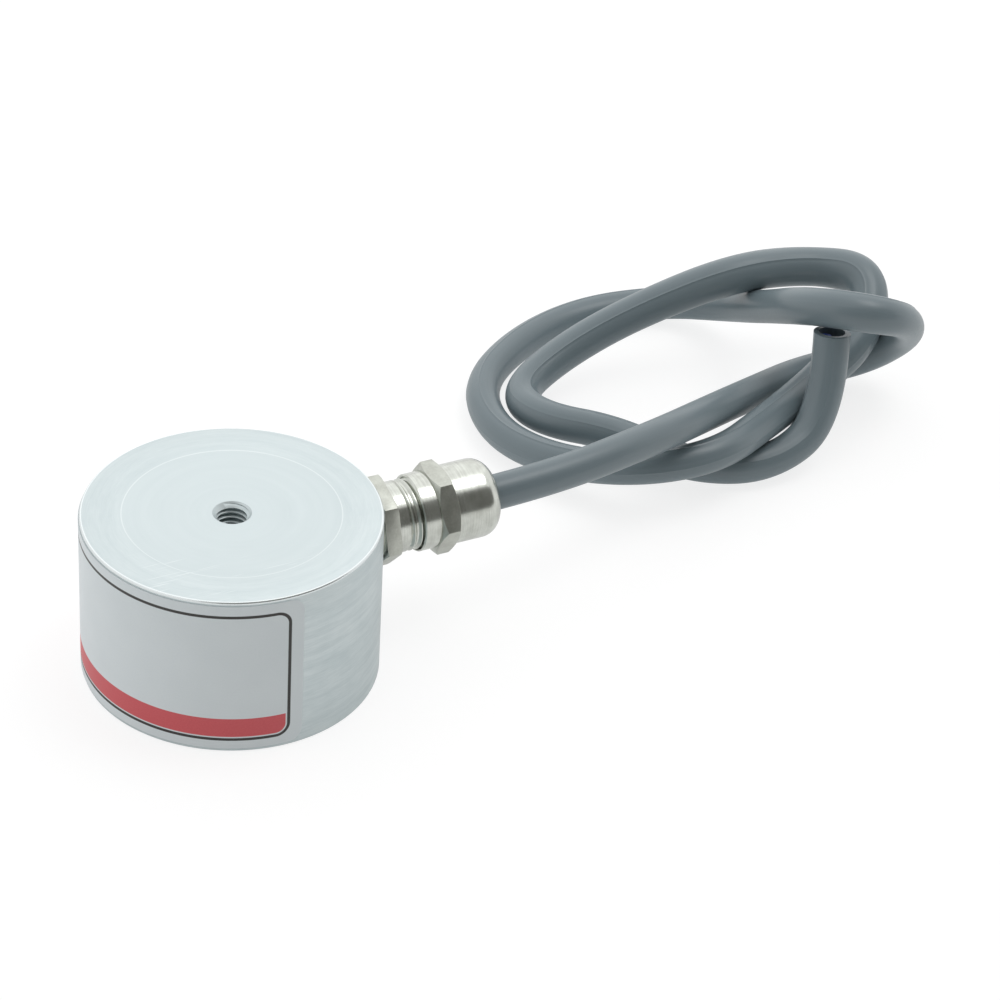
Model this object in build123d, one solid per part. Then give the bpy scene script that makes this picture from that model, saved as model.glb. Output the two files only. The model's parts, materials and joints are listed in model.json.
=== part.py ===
from build123d import *
import math
import os

os.makedirs("parts", exist_ok=True)

# Round holding electromagnet with a side cable gland. Lengths are in millimetres.
# Origin: centre of the pole face that the magnet stands on. +Z runs up to the threaded
# back face and +X runs out along the cable gland.

# Pot and core, one turned piece
POT_D = 50.0
POT_H = 30.0
WALL_T = 4.0
YOKE_T = 5.0
SLOT_W = 10.5
BACK_CHAMFER = 0.4
POLE_CHAMFER = 0.25

# M6 hole in the back
TAP_D = 5.0
TAP_DEPTH = 12.0
DRILL_POINT_ANGLE = 118.0
COUNTERSINK_D = 6.6

# Coil
COIL_BASE_Z = 2.0
COIL_ROOM = 0.5
BOBBIN_TUBE_T = 0.9
FLANGE_T = 1.0
CORE_GAP = 0.2
FLANGE_GAP = 0.5
WINDING_MARGIN = 0.9
TAPE_T = 0.3
NOTCH_W = 1.3
NOTCH_LIP = 0.1
START_NOTCH_ANGLE = 126.0
FINISH_NOTCH_ANGLE = -126.0

# Joints between the winding and the cable, above the coil
WIRE_D = 0.5
CONDUCTOR_D = 1.1
LEAD_WALL_T = 0.6
LEAD_GAP = 0.2
LEAD_STRAIGHT_L = 2.6
LEAD_APPROACH_L = 1.2
SPLICE_ANGLE = 70.0
SPLICE_DROP = 3.0
SLEEVE_L = 12.0
SLEEVE_WALL_T = 0.5
SLEEVE_GAP = 0.05
LEAD_IN_SLEEVE = 2.5
CONDUCTOR_IN_SLEEVE = 8.5
WIRE_IN_SLEEVE = 6.5
WIRE_RISE_L = 1.6
WIRE_BACK_ANGLE = 9.0
WIRE_SWING_L = 0.6
SOLDER_GAP = 0.03

# Resin
RESIN_RECESS = 0.3

# Cable
CABLE_D = 6.2
CABLE_GAP = 0.05
SHEATH_STANDOFF = 1.0

# Entry body of the cable gland, on an axis along +X
GLAND_DROP = 8.8
ENTRY_THREAD_D = 12.4
THREAD_GAP = 0.05
THREAD_RUNOUT = 0.5
ENTRY_THREAD_L = 5.0
HEX_WALL_T = 0.85
BODY_HEX_T = 2.7
BODY_HEX_TURN = 13.0
BODY_HEX_CHAMFER = 0.25
NUT_THREAD_L = 8.4
SEAT_WALL_T = 1.2
SEAT_DEPTH = 5.2
SEAT_GAP = 0.05

# Domed nut
NUT_START = 7.35
COLLAR_WALL_T = 0.5
NUT_COLLAR_L = 3.05
NUT_HEX_T = 3.4
NUT_HEX_TURN = 0.0
NUT_HEX_CHAMFER = 0.65
HEX_CHAMFER_ANGLE = 30.0
DOME_WALL_T = 1.45
DOME_L = 8.7
DOME_R = 3.3
CAVITY_GAP = 0.7
MOUTH_GAP = 0.5
MOUTH_L = 3.6
WASHER_T = 0.6

# Clamping basket and sealing ring
SEAL_WALL_T = 0.95
SEAL_TIP_L = 2.2
SEAL_STOP = 1.4
BASKET_WALL_T = 0.75
BASKET_RING_L = 5.4
TIP_STEP_W = 0.5
TIP_WALL_T = 1.05
FINGER_COUNT = 10
FINGER_SLOT_W = 0.8

# Label
LABEL_T = 0.15
LABEL_MARGIN = 0.7
LABEL_START_ANGLE = 114.6
LABEL_SWEEP_ANGLE = 160.0
LABEL_CORNER_R = 2.4

# Radii and heights of the pot and coil, worked out from the sizes above
pot_r = POT_D / 2
slot_r = pot_r - WALL_T
core_r = slot_r - SLOT_W
slot_top = POT_H - YOKE_T
gland_z = POT_H - GLAND_DROP
bobbin_r = core_r + CORE_GAP
tube_r = bobbin_r + BOBBIN_TUBE_T
flange_r = slot_r - FLANGE_GAP
winding_r = flange_r - WINDING_MARGIN
coil_bottom = COIL_BASE_Z + FLANGE_T
bobbin_top = gland_z - ENTRY_THREAD_D / 2 - COIL_ROOM
coil_top = bobbin_top - FLANGE_T
splice_r = (slot_r + core_r) / 2
splice_z = gland_z - SPLICE_DROP
lead_d = CONDUCTOR_D + 2 * LEAD_WALL_T
sleeve_bore_d = lead_d + 2 * SLEEVE_GAP
sleeve_d = sleeve_bore_d + 2 * SLEEVE_WALL_T

# Radii of the gland, from the cable outwards
mouth_r = CABLE_D / 2 + MOUTH_GAP
seal_bore_r = CABLE_D / 2 + CABLE_GAP
seal_r = seal_bore_r + SEAL_WALL_T
basket_bore_r = seal_r + SEAT_GAP
basket_r = basket_bore_r + BASKET_WALL_T
seat_r = basket_r + SEAT_GAP
nut_thread_r = seat_r + SEAT_WALL_T
nut_bore_r = nut_thread_r + THREAD_GAP
collar_r = nut_bore_r + COLLAR_WALL_T
hex_af = 2 * (nut_thread_r + HEX_WALL_T)
tip_bore_r = basket_bore_r - TIP_STEP_W
tip_r = tip_bore_r + TIP_WALL_T
cavity_r = tip_r + CAVITY_GAP
dome_r = cavity_r + DOME_WALL_T

# Stations along the gland's axis, measured from the pot's axis
hex_start = pot_r
hex_end = hex_start + BODY_HEX_T
body_end = hex_end + NUT_THREAD_L
seat_start = body_end - SEAT_DEPTH
entry_end = hex_start - ENTRY_THREAD_L
sheath_end = entry_end - SHEATH_STANDOFF
nut_start = pot_r + NUT_START
nut_hex_start = nut_start + NUT_COLLAR_L
nut_hex_end = nut_hex_start + NUT_HEX_T
nut_end = nut_hex_end + DOME_L
mouth_start = nut_end - MOUTH_L
washer_start = mouth_start - WASHER_T

gland = Plane(origin=(0, 0, gland_z), x_dir=(0, 1, 0), z_dir=(1, 0, 0))
UP = (Align.CENTER, Align.CENTER, Align.MIN)


def rod(diameter, start, end):
    """Cylinder on the local Z axis from one station to another."""
    return Pos(0, 0, start) * Cylinder(diameter / 2, end - start, align=UP)


def ring(outer_r, inner_r, start, end):
    """Plain ring on the local Z axis."""
    return rod(2 * outer_r, start, end) - rod(2 * inner_r, start, end)


def turned(points):
    """Solid of revolution about Z from (radius, height) points."""
    face = make_face(Polyline([(r, 0, z) for r, z in points], close=True))
    return revolve(face, axis=Axis.Z)


def chamfered_hexagon(across_flats, start, end, turn, chamfer_length):
    """Hexagon with its corners turned off at both ends."""
    corner_r = across_flats / math.sqrt(3)
    cut = chamfer_length / math.tan(math.radians(HEX_CHAMFER_ANGLE))
    outline = RegularPolygon(across_flats / 2, 6, major_radius=False, rotation=turn)
    prism = Pos(0, 0, start) * extrude(outline, end - start)
    limit = turned(
        [
            (0, start),
            (corner_r - cut, start),
            (corner_r, start + chamfer_length),
            (corner_r, end - chamfer_length),
            (corner_r - cut, end),
            (0, end),
        ]
    )
    return prism & limit


def polar(radius, angle, z):
    """Point at a radius and an angle about the pot's axis."""
    a = math.radians(angle)
    return Vector(radius * math.cos(a), radius * math.sin(a), z)


def arc_radii(points, most=None):
    """One radius for each corner: 0.45 of the shorter run over the tangent of half the turn."""
    radii = []
    for before, here, after in zip(points, points[1:], points[2:]):
        run_in = Vector(here) - Vector(before)
        run_out = Vector(after) - Vector(here)
        half_turn = math.radians(run_in.get_angle(run_out) / 2)
        radius = 0.45 * min(run_in.length, run_out.length) / math.tan(half_turn)
        radii.append(radius if most is None else min(radius, most))
    return radii


def path_through(points, most=None):
    """Straight runs joined by tangent arcs."""
    return FilletPolyline(points, radius=arc_radii(points, most))


def swept(path, outer_d, inner_d=0.0):
    """Round rod or tube along a path."""
    start = Plane(origin=path @ 0, z_dir=path % 0)
    section = Circle(outer_d / 2)
    if inner_d:
        section = section - Circle(inner_d / 2)
    return sweep(start * section, path=path)


def pot_housing():
    """Pot, core and yoke in one piece, with the M6 hole and the tapped hole for the gland."""
    pot = chamfer(
        rod(POT_D, 0, POT_H).edges().group_by(Axis.Z)[-1],
        BACK_CHAMFER,
    )
    pot = chamfer(pot.edges().group_by(Axis.Z)[0], POLE_CHAMFER)
    pot -= ring(slot_r, core_r, 0, slot_top)
    point_h = TAP_D / 2 / math.tan(math.radians(DRILL_POINT_ANGLE / 2))
    sink_h = (COUNTERSINK_D - TAP_D) / 2
    hole_bottom = POT_H - TAP_DEPTH
    pot -= turned(
        [
            (0, hole_bottom - point_h),
            (TAP_D / 2, hole_bottom),
            (TAP_D / 2, POT_H - sink_h),
            (COUNTERSINK_D / 2, POT_H),
            (0, POT_H),
        ]
    )
    pot -= gland * rod(ENTRY_THREAD_D + 2 * THREAD_GAP, entry_end - THREAD_RUNOUT, pot_r + 1)
    return pot


def wire_notch(angle, end_r):
    """Cutter for a round-ended notch in the upper flange, from its rim in to a radius."""
    middle_r = end_r + NOTCH_W / 2
    length = flange_r + 1 - middle_r
    straight = Box(length, NOTCH_W, FLANGE_T, align=(Align.MIN, Align.CENTER, Align.MIN))
    cutter = Pos(middle_r, 0, coil_top) * straight
    cutter += Pos(middle_r, 0, 0) * rod(NOTCH_W, coil_top, bobbin_top)
    return Rot(0, 0, angle) * cutter


def coil_bobbin():
    """Coil former: a tube with two flanges, the upper one notched for the wires."""
    former = ring(tube_r, bobbin_r, COIL_BASE_Z, bobbin_top)
    former += ring(flange_r, bobbin_r, COIL_BASE_Z, coil_bottom)
    former += ring(flange_r, bobbin_r, coil_top, bobbin_top)
    former -= wire_notch(START_NOTCH_ANGLE, tube_r + NOTCH_LIP)
    former -= wire_notch(FINISH_NOTCH_ANGLE, winding_r - WIRE_D - NOTCH_W)
    return former


def coil_winding():
    """Enamelled copper winding as one ring."""
    return ring(winding_r, tube_r, coil_bottom, coil_top)


def winding_tape():
    """Tape round the winding."""
    return ring(winding_r + TAPE_T, winding_r, coil_bottom, coil_top)


def splice_point(along, side, rise=0.0):
    """Point on a sleeve's axis, measured along it from its middle, away from the gland."""
    angle = math.radians(side * SPLICE_ANGLE)
    middle = polar(splice_r, side * SPLICE_ANGLE, splice_z + rise)
    return middle + Vector(-math.sin(angle), math.cos(angle), 0) * (side * along)


def splice_envelope(side):
    """Outer form of the shrink sleeve over one joint."""
    axis = splice_point(1, side) - splice_point(0, side)
    place = Plane(origin=splice_point(-SLEEVE_L / 2, side), z_dir=axis)
    return place * rod(sleeve_d, 0, SLEEVE_L)


def splice_sleeve(side):
    """Shrink sleeve over one joint, with its bore."""
    axis = splice_point(1, side) - splice_point(0, side)
    place = Plane(origin=splice_point(-SLEEVE_L / 2, side), z_dir=axis)
    return splice_envelope(side) - place * rod(sleeve_bore_d, 0, SLEEVE_L)


def lead_path(side, into_sleeve):
    """Path of a core from the end of the cable's sheath to its sleeve."""
    first = Vector(sheath_end, side * (lead_d + LEAD_GAP) / 2, gland_z)
    points = [
        first,
        first + Vector(-LEAD_STRAIGHT_L, 0, 0),
        splice_point(-SLEEVE_L / 2 - LEAD_APPROACH_L, side),
        splice_point(-SLEEVE_L / 2 + into_sleeve, side),
    ]
    return path_through(points, most=2 * lead_d)


def lead_envelope(side):
    """Outer form of one core of the cable, inside the pot."""
    return swept(lead_path(side, LEAD_IN_SLEEVE), lead_d)


def lead(side):
    """Insulation of one core, with the bore for its copper."""
    return swept(lead_path(side, LEAD_IN_SLEEVE), lead_d, CONDUCTOR_D)


def conductor(side):
    """Copper of one core, bared in its sleeve."""
    return swept(lead_path(side, CONDUCTOR_IN_SLEEVE), CONDUCTOR_D)


def winding_end(side, notch_angle, inner_r):
    """Wire from the winding, up through the flange notch and into its sleeve."""
    beside = (CONDUCTOR_D + WIRE_D) / 2 + SOLDER_GAP
    foot_r = inner_r + WIRE_D
    turn_r = (foot_r + splice_r) / 2 + WIRE_SWING_L
    points = [
        polar(foot_r, notch_angle, coil_top),
        polar(foot_r, notch_angle, bobbin_top + WIRE_RISE_L),
        polar(turn_r, notch_angle - side * WIRE_BACK_ANGLE, splice_z),
        splice_point(SLEEVE_L / 2 + WIRE_RISE_L, side, beside),
        splice_point(SLEEVE_L / 2 - WIRE_IN_SLEEVE, side, beside),
    ]
    return swept(path_through(points, most=3 * WIRE_D), WIRE_D)


def winding_start_wire():
    """Inner end of the winding."""
    return winding_end(1, START_NOTCH_ANGLE, tube_r)


def winding_finish_wire():
    """Outer end of the winding."""
    return winding_end(-1, FINISH_NOTCH_ANGLE, winding_r - 2 * WIRE_D)


def gland_body():
    """Entry body: thread into the pot, hexagon, thread for the nut, bore and basket seat."""
    body = rod(ENTRY_THREAD_D, entry_end, hex_start)
    body += chamfered_hexagon(hex_af, hex_start, hex_end, BODY_HEX_TURN, BODY_HEX_CHAMFER)
    body += rod(2 * nut_thread_r, hex_end, body_end)
    body -= rod(2 * mouth_r, entry_end, body_end)
    body -= rod(2 * seat_r, seat_start, body_end)
    return gland * body


def gland_dome_nut():
    """Pressure nut: collar, chamfered hexagon and dome, threaded inside."""
    nut = rod(2 * collar_r, nut_start, nut_hex_start)
    nut += chamfered_hexagon(hex_af, nut_hex_start, nut_hex_end, NUT_HEX_TURN, NUT_HEX_CHAMFER)
    dome = rod(2 * dome_r, nut_hex_end, nut_end)
    nut += fillet(dome.edges().group_by(Axis.Z)[-1], DOME_R)
    nut -= rod(2 * nut_bore_r, nut_start, body_end + THREAD_RUNOUT)
    nut -= rod(2 * cavity_r, body_end, mouth_start)
    nut -= rod(2 * mouth_r, mouth_start, nut_end)
    return gland * nut


def gland_slip_washer():
    """Washer that lets the nut turn on the basket's fingers."""
    return gland * ring(cavity_r - SEAT_GAP, mouth_r, washer_start, mouth_start)


def gland_clamp_insert():
    """Clamping basket: a ring in the body's seat and slotted fingers that close on the seal."""
    ring_end = seat_start + BASKET_RING_L
    basket = turned(
        [
            (basket_bore_r, seat_start),
            (basket_r, seat_start),
            (basket_r, ring_end),
            (tip_r, washer_start),
            (tip_bore_r, washer_start),
            (basket_bore_r, washer_start - SEAL_TIP_L),
        ]
    )
    slot_l = washer_start - ring_end
    slot = Pos(0, 0, ring_end) * Box(2 * basket_r, FINGER_SLOT_W, slot_l + 1, align=UP)
    for turn in range(FINGER_COUNT // 2):
        basket -= Rot(0, 0, 180 * turn / (FINGER_COUNT // 2)) * slot
    return gland * basket


def gland_seal():
    """Rubber ring round the cable, coned where the fingers close."""
    seal_end = washer_start - SEAL_STOP
    cone_start = washer_start - SEAL_TIP_L - SEAT_GAP
    cone_end_r = seal_r - TIP_STEP_W * (seal_end - cone_start) / SEAL_TIP_L
    return gland * turned(
        [
            (seal_bore_r, seat_start),
            (seal_r, seat_start),
            (seal_r, cone_start),
            (cone_end_r, seal_end),
            (seal_bore_r, seal_end),
        ]
    )


# Points of the cable's free route, from inside the nut's mouth to its cut end. It runs down to
# the surface, round in two loose turns that cross each other, and up at the cut end.
CABLE_ROUTE = [
    (mouth_start, 0.0, gland_z),
    (58.5, 0.0, gland_z),
    (82.0, 5.5, 20.3),
    (101.0, 16.8, 14.5),
    (117.0, 28.5, 7.5),
    (132.2, 36.4, 3.6),
    (144.6, 34.5, 4.7),
    (148.4, 27.0, 13.4),
    (142.2, 18.2, 23.2),
    (132.8, 14.6, 28.8),
    (123.5, 22.5, 28.2),
    (125.0, 40.0, 17.6),
    (127.5, 58.0, 7.0),
    (120.0, 68.5, 3.5),
    (103.5, 71.5, 3.2),
    (87.0, 66.5, 3.2),
    (73.0, 55.5, 3.2),
    (69.0, 39.5, 3.5),
    (73.5, 23.5, 6.0),
    (84.0, 12.0, 9.0),
    (97.5, 7.8, 11.2),
    (112.5, 16.5, 9.5),
    (129.5, 27.0, 7.5),
    (141.7, 30.8, 12.9),
    (147.9, 40.3, 19.6),
    (139.1, 49.5, 18.7),
    (122.2, 49.5, 20.2),
    (103.4, 54.0, 12.7),
    (89.3, 54.2, 7.0),
    (77.3, 48.5, 4.5),
    (76.5, 35.5, 7.2),
    (86.2, 25.2, 8.2),
    (96.5, 16.5, 3.7),
    (111.0, 11.0, 3.4),
    (124.0, 14.5, 9.0),
    (127.6, 20.6, 22.6),
]


def cable_sheath():
    """Round sheath of the cable: the stretch held in the gland, then the free route."""
    path = path_through(CABLE_ROUTE)
    radii = [round(radius, 1) for radius in arc_radii(CABLE_ROUTE)]
    held_l = mouth_start - sheath_end
    cable = Pos(0, 0, gland_z) * Rot(0, 90, 0) * rod(CABLE_D, sheath_end, mouth_start)
    cable += swept(path, CABLE_D)
    expected = math.pi * CABLE_D**2 / 4 * (path.length + held_l)
    print("cable free length", round(path.length, 1), "held length", round(held_l, 1))
    print("cable radii", radii)
    print("cable volume over section times length", round(cable.volume / expected, 5))
    return cable


def label_sheet():
    """Thin label round the side, with rounded corners."""
    height = POT_H - 2 * LABEL_MARGIN
    reach = 2 * POT_D
    corners = [(0, 0, LABEL_MARGIN)]
    for share in (0, 0.5, 1):
        angle = LABEL_START_ANGLE + share * LABEL_SWEEP_ANGLE
        corners.append(polar(reach, angle, LABEL_MARGIN))
    wedge = make_face(Polyline(corners, close=True))
    sheet = ring(pot_r + LABEL_T, pot_r, LABEL_MARGIN, LABEL_MARGIN + height)
    sheet &= extrude(wedge, height, dir=(0, 0, 1))
    short_edges = sheet.edges().filter_by(lambda edge: edge.length < 2 * LABEL_T)
    return fillet(short_edges, LABEL_CORNER_R)


def potting_resin(embedded):
    """Resin that fills what the other pieces leave of the slot."""
    resin = ring(slot_r, core_r, RESIN_RECESS, slot_top)
    resin -= ring(flange_r, core_r, COIL_BASE_Z, bobbin_top)
    resin -= gland * rod(2 * mouth_r, entry_end - THREAD_RUNOUT, pot_r)
    for piece in embedded:
        resin -= piece
    for side in (1, -1):
        resin -= lead_envelope(side)
        resin -= splice_envelope(side)
    return resin


def build():
    """All sub-parts by node name."""
    cable = cable_sheath()
    body = gland_body()
    wires = {
        "winding_start_wire": winding_start_wire(),
        "winding_finish_wire": winding_finish_wire(),
    }
    return {
        "pot_housing": pot_housing(),
        "coil_bobbin": coil_bobbin(),
        "coil_winding": coil_winding(),
        "winding_tape": winding_tape(),
        "splice_sleeve_start": splice_sleeve(1),
        "splice_sleeve_finish": splice_sleeve(-1),
        "lead_brown": lead(1),
        "lead_blue": lead(-1),
        "conductor_brown": conductor(1),
        "conductor_blue": conductor(-1),
        "potting_resin": potting_resin([body, cable] + list(wires.values())),
        "gland_body": body,
        "gland_clamp_insert": gland_clamp_insert(),
        "gland_seal": gland_seal(),
        "gland_slip_washer": gland_slip_washer(),
        "gland_dome_nut": gland_dome_nut(),
        "cable_sheath": cable,
        "label_sheet": label_sheet(),
        **wires,
    }


for name, solid in build().items():
    export_step(solid, f"parts/{name}.step")
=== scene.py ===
import json
import math

import bmesh
import bpy
from mathutils import Matrix, Vector


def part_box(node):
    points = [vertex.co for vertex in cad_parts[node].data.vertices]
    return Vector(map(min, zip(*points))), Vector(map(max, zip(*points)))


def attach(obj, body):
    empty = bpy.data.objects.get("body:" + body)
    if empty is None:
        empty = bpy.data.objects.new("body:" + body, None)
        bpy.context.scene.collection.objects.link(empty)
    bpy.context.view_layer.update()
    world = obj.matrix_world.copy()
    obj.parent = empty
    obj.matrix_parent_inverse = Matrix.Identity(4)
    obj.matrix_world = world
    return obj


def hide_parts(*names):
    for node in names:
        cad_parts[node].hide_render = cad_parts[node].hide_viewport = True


# Round holding electromagnet with a side cable gland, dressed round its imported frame
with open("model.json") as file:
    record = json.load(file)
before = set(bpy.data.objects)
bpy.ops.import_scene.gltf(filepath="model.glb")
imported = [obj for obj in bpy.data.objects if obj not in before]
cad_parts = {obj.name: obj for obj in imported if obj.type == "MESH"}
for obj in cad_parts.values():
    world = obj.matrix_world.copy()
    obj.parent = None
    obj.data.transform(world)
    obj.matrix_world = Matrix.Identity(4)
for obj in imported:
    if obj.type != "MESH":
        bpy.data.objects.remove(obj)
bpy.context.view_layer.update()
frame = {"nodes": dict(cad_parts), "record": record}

# Sizes below are in millimetres times MM, angles are in degrees and every place is in metres
MM = 0.001

# Sizes that the frame gives
pot_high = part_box("pot_housing")[1]
nut_low, nut_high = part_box("gland_dome_nut")
body_low, body_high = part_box("gland_body")
resin_low, resin_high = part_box("potting_resin")
label_low, label_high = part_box("label_sheet")
washer_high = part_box("gland_slip_washer")[1]
pot_r = pot_high.x
pot_h = pot_high.z
slot_r = resin_high.x
slot_top = resin_high.z
gland_z = (body_low.z + body_high.z) / 2
nut_start = nut_low.x
nut_end = nut_high.x
body_end = body_high.x
entry_end = body_low.x
mouth_start = washer_high.x

# Pot, sizes that only its drawing gives
CORE_R = 10.5 * MM
RIM_BEVEL = 0.4 * MM
POLE_BEVEL = 0.25 * MM
SLOT_BEVEL = 0.15 * MM
RING_R = 18.2 * MM
RING_STEP = 0.03 * MM
RING_SLOPE = 0.16 * MM
THREAD_PITCH = 1.0 * MM
THREAD_MAJOR_R = 3.0 * MM
THREAD_MINOR_R = 2.46 * MM
THREAD_DEPTH = 12.0 * MM
THREAD_SIDES = 48
# Shares of the pitch at which a flank of a thread starts and ends
THREAD_FLANKS = (0.12, 0.44, 0.56, 0.88)
# The drill as shares of the thread's minor radius
DRILL_SHARE = 0.98
DRILL_POINT_SHARE = 0.6
COUNTERSINK_R = 3.3 * MM
ENTRY_HOLE_R = 6.25 * MM
ENTRY_HOLE_X = 19.5 * MM
ROUND_SIDES = 192
POT_SMOOTH_ANGLE = 25.0

# Gland, sizes that only its drawing gives
HEX_AF = 14.0 * MM
BODY_HEX_T = 2.7 * MM
BODY_HEX_TURN = 13.0
BODY_HEX_CHAMFER = 0.25 * MM
HEX_CHAMFER_ANGLE = 30.0
HEX_EDGE_BEVEL = 0.13 * MM
HEX_EDGE_ANGLE = 25.0
HEX_OVERLAP = 0.3 * MM
SHANK_L = 2.2 * MM
SHANK_SLOPE_SHARE = 0.8
NUT_THREAD_R = 6.15 * MM
NUT_THREAD_ROOT_R = 5.75 * MM
NUT_THREAD_PITCH = 1.27 * MM
THREAD_ROOT_GAP = 0.05 * MM
THREAD_START_GAP = 0.5 * MM
ENTRY_R = 6.2 * MM
ENTRY_CHAMFER = 0.6 * MM
SEAT_R = 4.95 * MM
SEAT_DEPTH = 5.2 * MM
MOUTH_R = 3.6 * MM
MOUTH_EASE = 0.2 * MM
COLLAR_R = 6.7 * MM
COLLAR_L = 3.05 * MM
COLLAR_EASE = 0.25 * MM
NUT_HEX_T = 3.4 * MM
NUT_HEX_CHAMFER = 0.65 * MM
NUT_BORE_R = 6.2 * MM
NUT_BORE_LIP = 0.35 * MM
CAVITY_R = 5.4 * MM
CAVITY_GAP = 0.5 * MM
DOME_R = 6.85 * MM
DOME_ROUND = 3.25 * MM
DOME_STEPS = 14
# Where the collar widens to the dome inside the hexagon, as shares of its thickness
DOME_SLOPE = (0.3, 0.6)
GLAND_SIDES = 96

# Cable: its sheath, its two cores and the fine raised lines that its die left along it
CABLE_D = 6.2 * MM
CABLE_SMOOTH_ANGLE = 40.0
SHEATH_BORE_R = 2.42 * MM
CORE_D = 2.3 * MM
CORE_RECESS = 0.9 * MM
CORE_EASE = 0.1 * MM
CORE_GAP = 0.03 * MM
CORE_TURNS = {"brown": 35, "blue": 215}
CORE_SIDES = 32
CONDUCTOR_R = 0.55 * MM
CONDUCTOR_RECESS = 0.15 * MM
CUT_SLANT = 12.0
CUT_SLANT_RINGS = 6
CUT_SIDE = (-0.35, -0.94, 0.0)
CUT_AHEAD = 0.12 * MM
CUT_EDGE_EASE = 0.06 * MM
CUT_FACE_EASE = 0.14 * MM
BORE_DEPTH = 3.0 * MM
SEAM_TURN = 262.0
SEAM_HEIGHT = 0.1 * MM
SECOND_SEAM_TURN = 74.0
SECOND_SEAM_HEIGHT = 0.05 * MM
# Radians from a seam's middle, with shares of its height
SEAM_PROFILE = ((-0.07, 0), (-0.03, 0.6), (0, 1), (0.03, 0.6), (0.07, 0))
SEAM_CLEAR = 0.08
RING_SIDES = 40

# Width of the pressed cable against its plain size, by number of the route's point
CABLE_WIDTHS = [
    (0, 1.0),
    (4, 1.0),
    (8, 1.02),
    (9.6, 1.16),
    (10.3, 1.13),
    (11.3, 1.02),
    (13, 1.01),
    (21, 1.01),
    (24, 1.2),
    (24.9, 1.27),
    (25.6, 1.2),
    (26, 1.2),
    (28, 1.1),
    (31, 1.03),
    (34, 1.03),
    (35, 1.1),
]

# Label, its border and its coloured field
LABEL_START = 114.6
LABEL_SWEEP = 160.0
LABEL_T = 0.15 * MM
LABEL_CORNER = 2.4 * MM
LABEL_CORNER_STEPS = 8
LABEL_COLUMNS = 120
BORDER_TOP_INSET = 2.1 * MM
BORDER_FOOT_INSET = 1.85 * MM
BORDER_END_INSET = 2.45 * MM
BORDER_LINE = 0.55 * MM
BORDER_CORNER = 2.2 * MM
FIELD_TOP = 6.75 * MM
FIELD_GAP = 0.25 * MM
PRINT_EDGE = 0.03 * MM

# Resin
RESIN_DISH = 0.28 * MM
RESIN_STEPS = 12

# How far a cutting tool runs past a piece, how near a face or edge lies to the place that it is
# picked by, and how close two points are to be one
OVERRUN = 1.0 * MM
NEAR = 0.05 * MM
MERGE = 0.002 * MM
CUT_MERGE = 0.0001 * MM

# Stage in metres: the dark card stands out from the object's middle, on the camera's side
FLOOR_SIZE = 6
CARD_SIZE = (3.4, 1.3)
CARD_FROM = (0.05, 0.0, 0.02)
CARD_TOWARD = (0.0, -0.887, 0.461)

# Camera, measured from the photo's two rims
CAMERA_PLACE = (-0.1908, -0.4474, 0.3726)
CAMERA_YAW = 61.75
CAMERA_PITCH = 34.82
CAMERA_ROLL = 3.44
CAMERA_LENS = 130.36
CAMERA_SENSOR = 36
CAMERA_CLIP = 0.01

# Control points of the cable's free route, from inside the nut's mouth to its cut end
CABLE_ROUTE = [
    (43.9, 0.0, 21.2),
    (58.5, 0.0, 21.2),
    (82.0, 5.5, 20.3),
    (101.0, 16.8, 14.5),
    (117.0, 28.5, 7.5),
    (132.2, 36.4, 3.6),
    (144.6, 34.5, 4.7),
    (148.4, 27.0, 13.4),
    (142.2, 18.2, 23.2),
    (133.2, 15.3, 28.3),
    (124.2, 23.7, 27.6),
    (126.3, 42.6, 15.8),
    (127.5, 58.0, 7.0),
    (120.0, 68.5, 3.5),
    (103.5, 71.5, 3.2),
    (87.0, 66.5, 3.2),
    (73.0, 55.5, 3.2),
    (69.0, 39.5, 3.5),
    (73.5, 23.5, 6.0),
    (84.0, 12.0, 9.0),
    (97.5, 7.8, 11.2),
    (112.5, 16.5, 9.5),
    (129.5, 27.0, 7.5),
    (141.5, 30.4, 13.3),
    (147.9, 40.3, 19.6),
    (138.8, 48.9, 18.8),
    (121.8, 48.8, 20.7),
    (103.4, 54.0, 12.7),
    (89.3, 54.2, 7.0),
    (77.3, 48.5, 4.5),
    (76.5, 35.5, 7.2),
    (86.2, 25.2, 8.2),
    (96.5, 16.5, 3.7),
    (111.0, 11.0, 3.4),
    (124.7, 14.9, 8.3),
    (127.3, 20.5, 22.9),
]
ROUTE_STEPS = 16

# The gland's own axis: local X is +Y, local Y is +Z and local Z is +X
GLAND_PLACE = Matrix(((0, 0, 1, 0), (1, 0, 0, 0), (0, 1, 0, gland_z), (0, 0, 0, 1)))

# What add() needs for a Mix node that mixes colours
COLOURS = {"give": 2, "data_type": "RGBA"}


# Material helpers


def colour(code):
    """Linear colour of an sRGB hex value."""
    channels = [int(code[i : i + 2], 16) / 255 for i in (1, 3, 5)]
    return tuple(c / 12.92 if c <= 0.04045 else ((c + 0.055) / 1.055) ** 2.4 for c in channels) + (1,)


def add(tree, kind, sockets=None, give=0, **settings):
    """Adds a node with its settings and links, and returns one of its outputs."""
    node = tree.nodes.new(kind)
    for name, value in settings.items():
        setattr(node, name, value)
    for key, value in (sockets or {}).items():
        if isinstance(value, bpy.types.NodeSocket):
            tree.links.new(value, node.inputs[key])
        else:
            node.inputs[key].default_value = value
    return node.outputs[give]


def scale(*sizes):
    """Scale of a pattern along each axis, from its real sizes in millimetres."""
    return tuple(1 / (size * MM) for size in sizes)


def start_material(name, **sockets):
    """A material with its shader's plain values. Returns it, its node tree and its shader's sockets."""
    material = bpy.data.materials.new(name)
    material.use_nodes = True
    tree = material.node_tree
    shader = tree.nodes["Principled BSDF"].inputs
    for key, value in sockets.items():
        shader[key.replace("_", " ")].default_value = value
    return material, tree, shader


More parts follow.
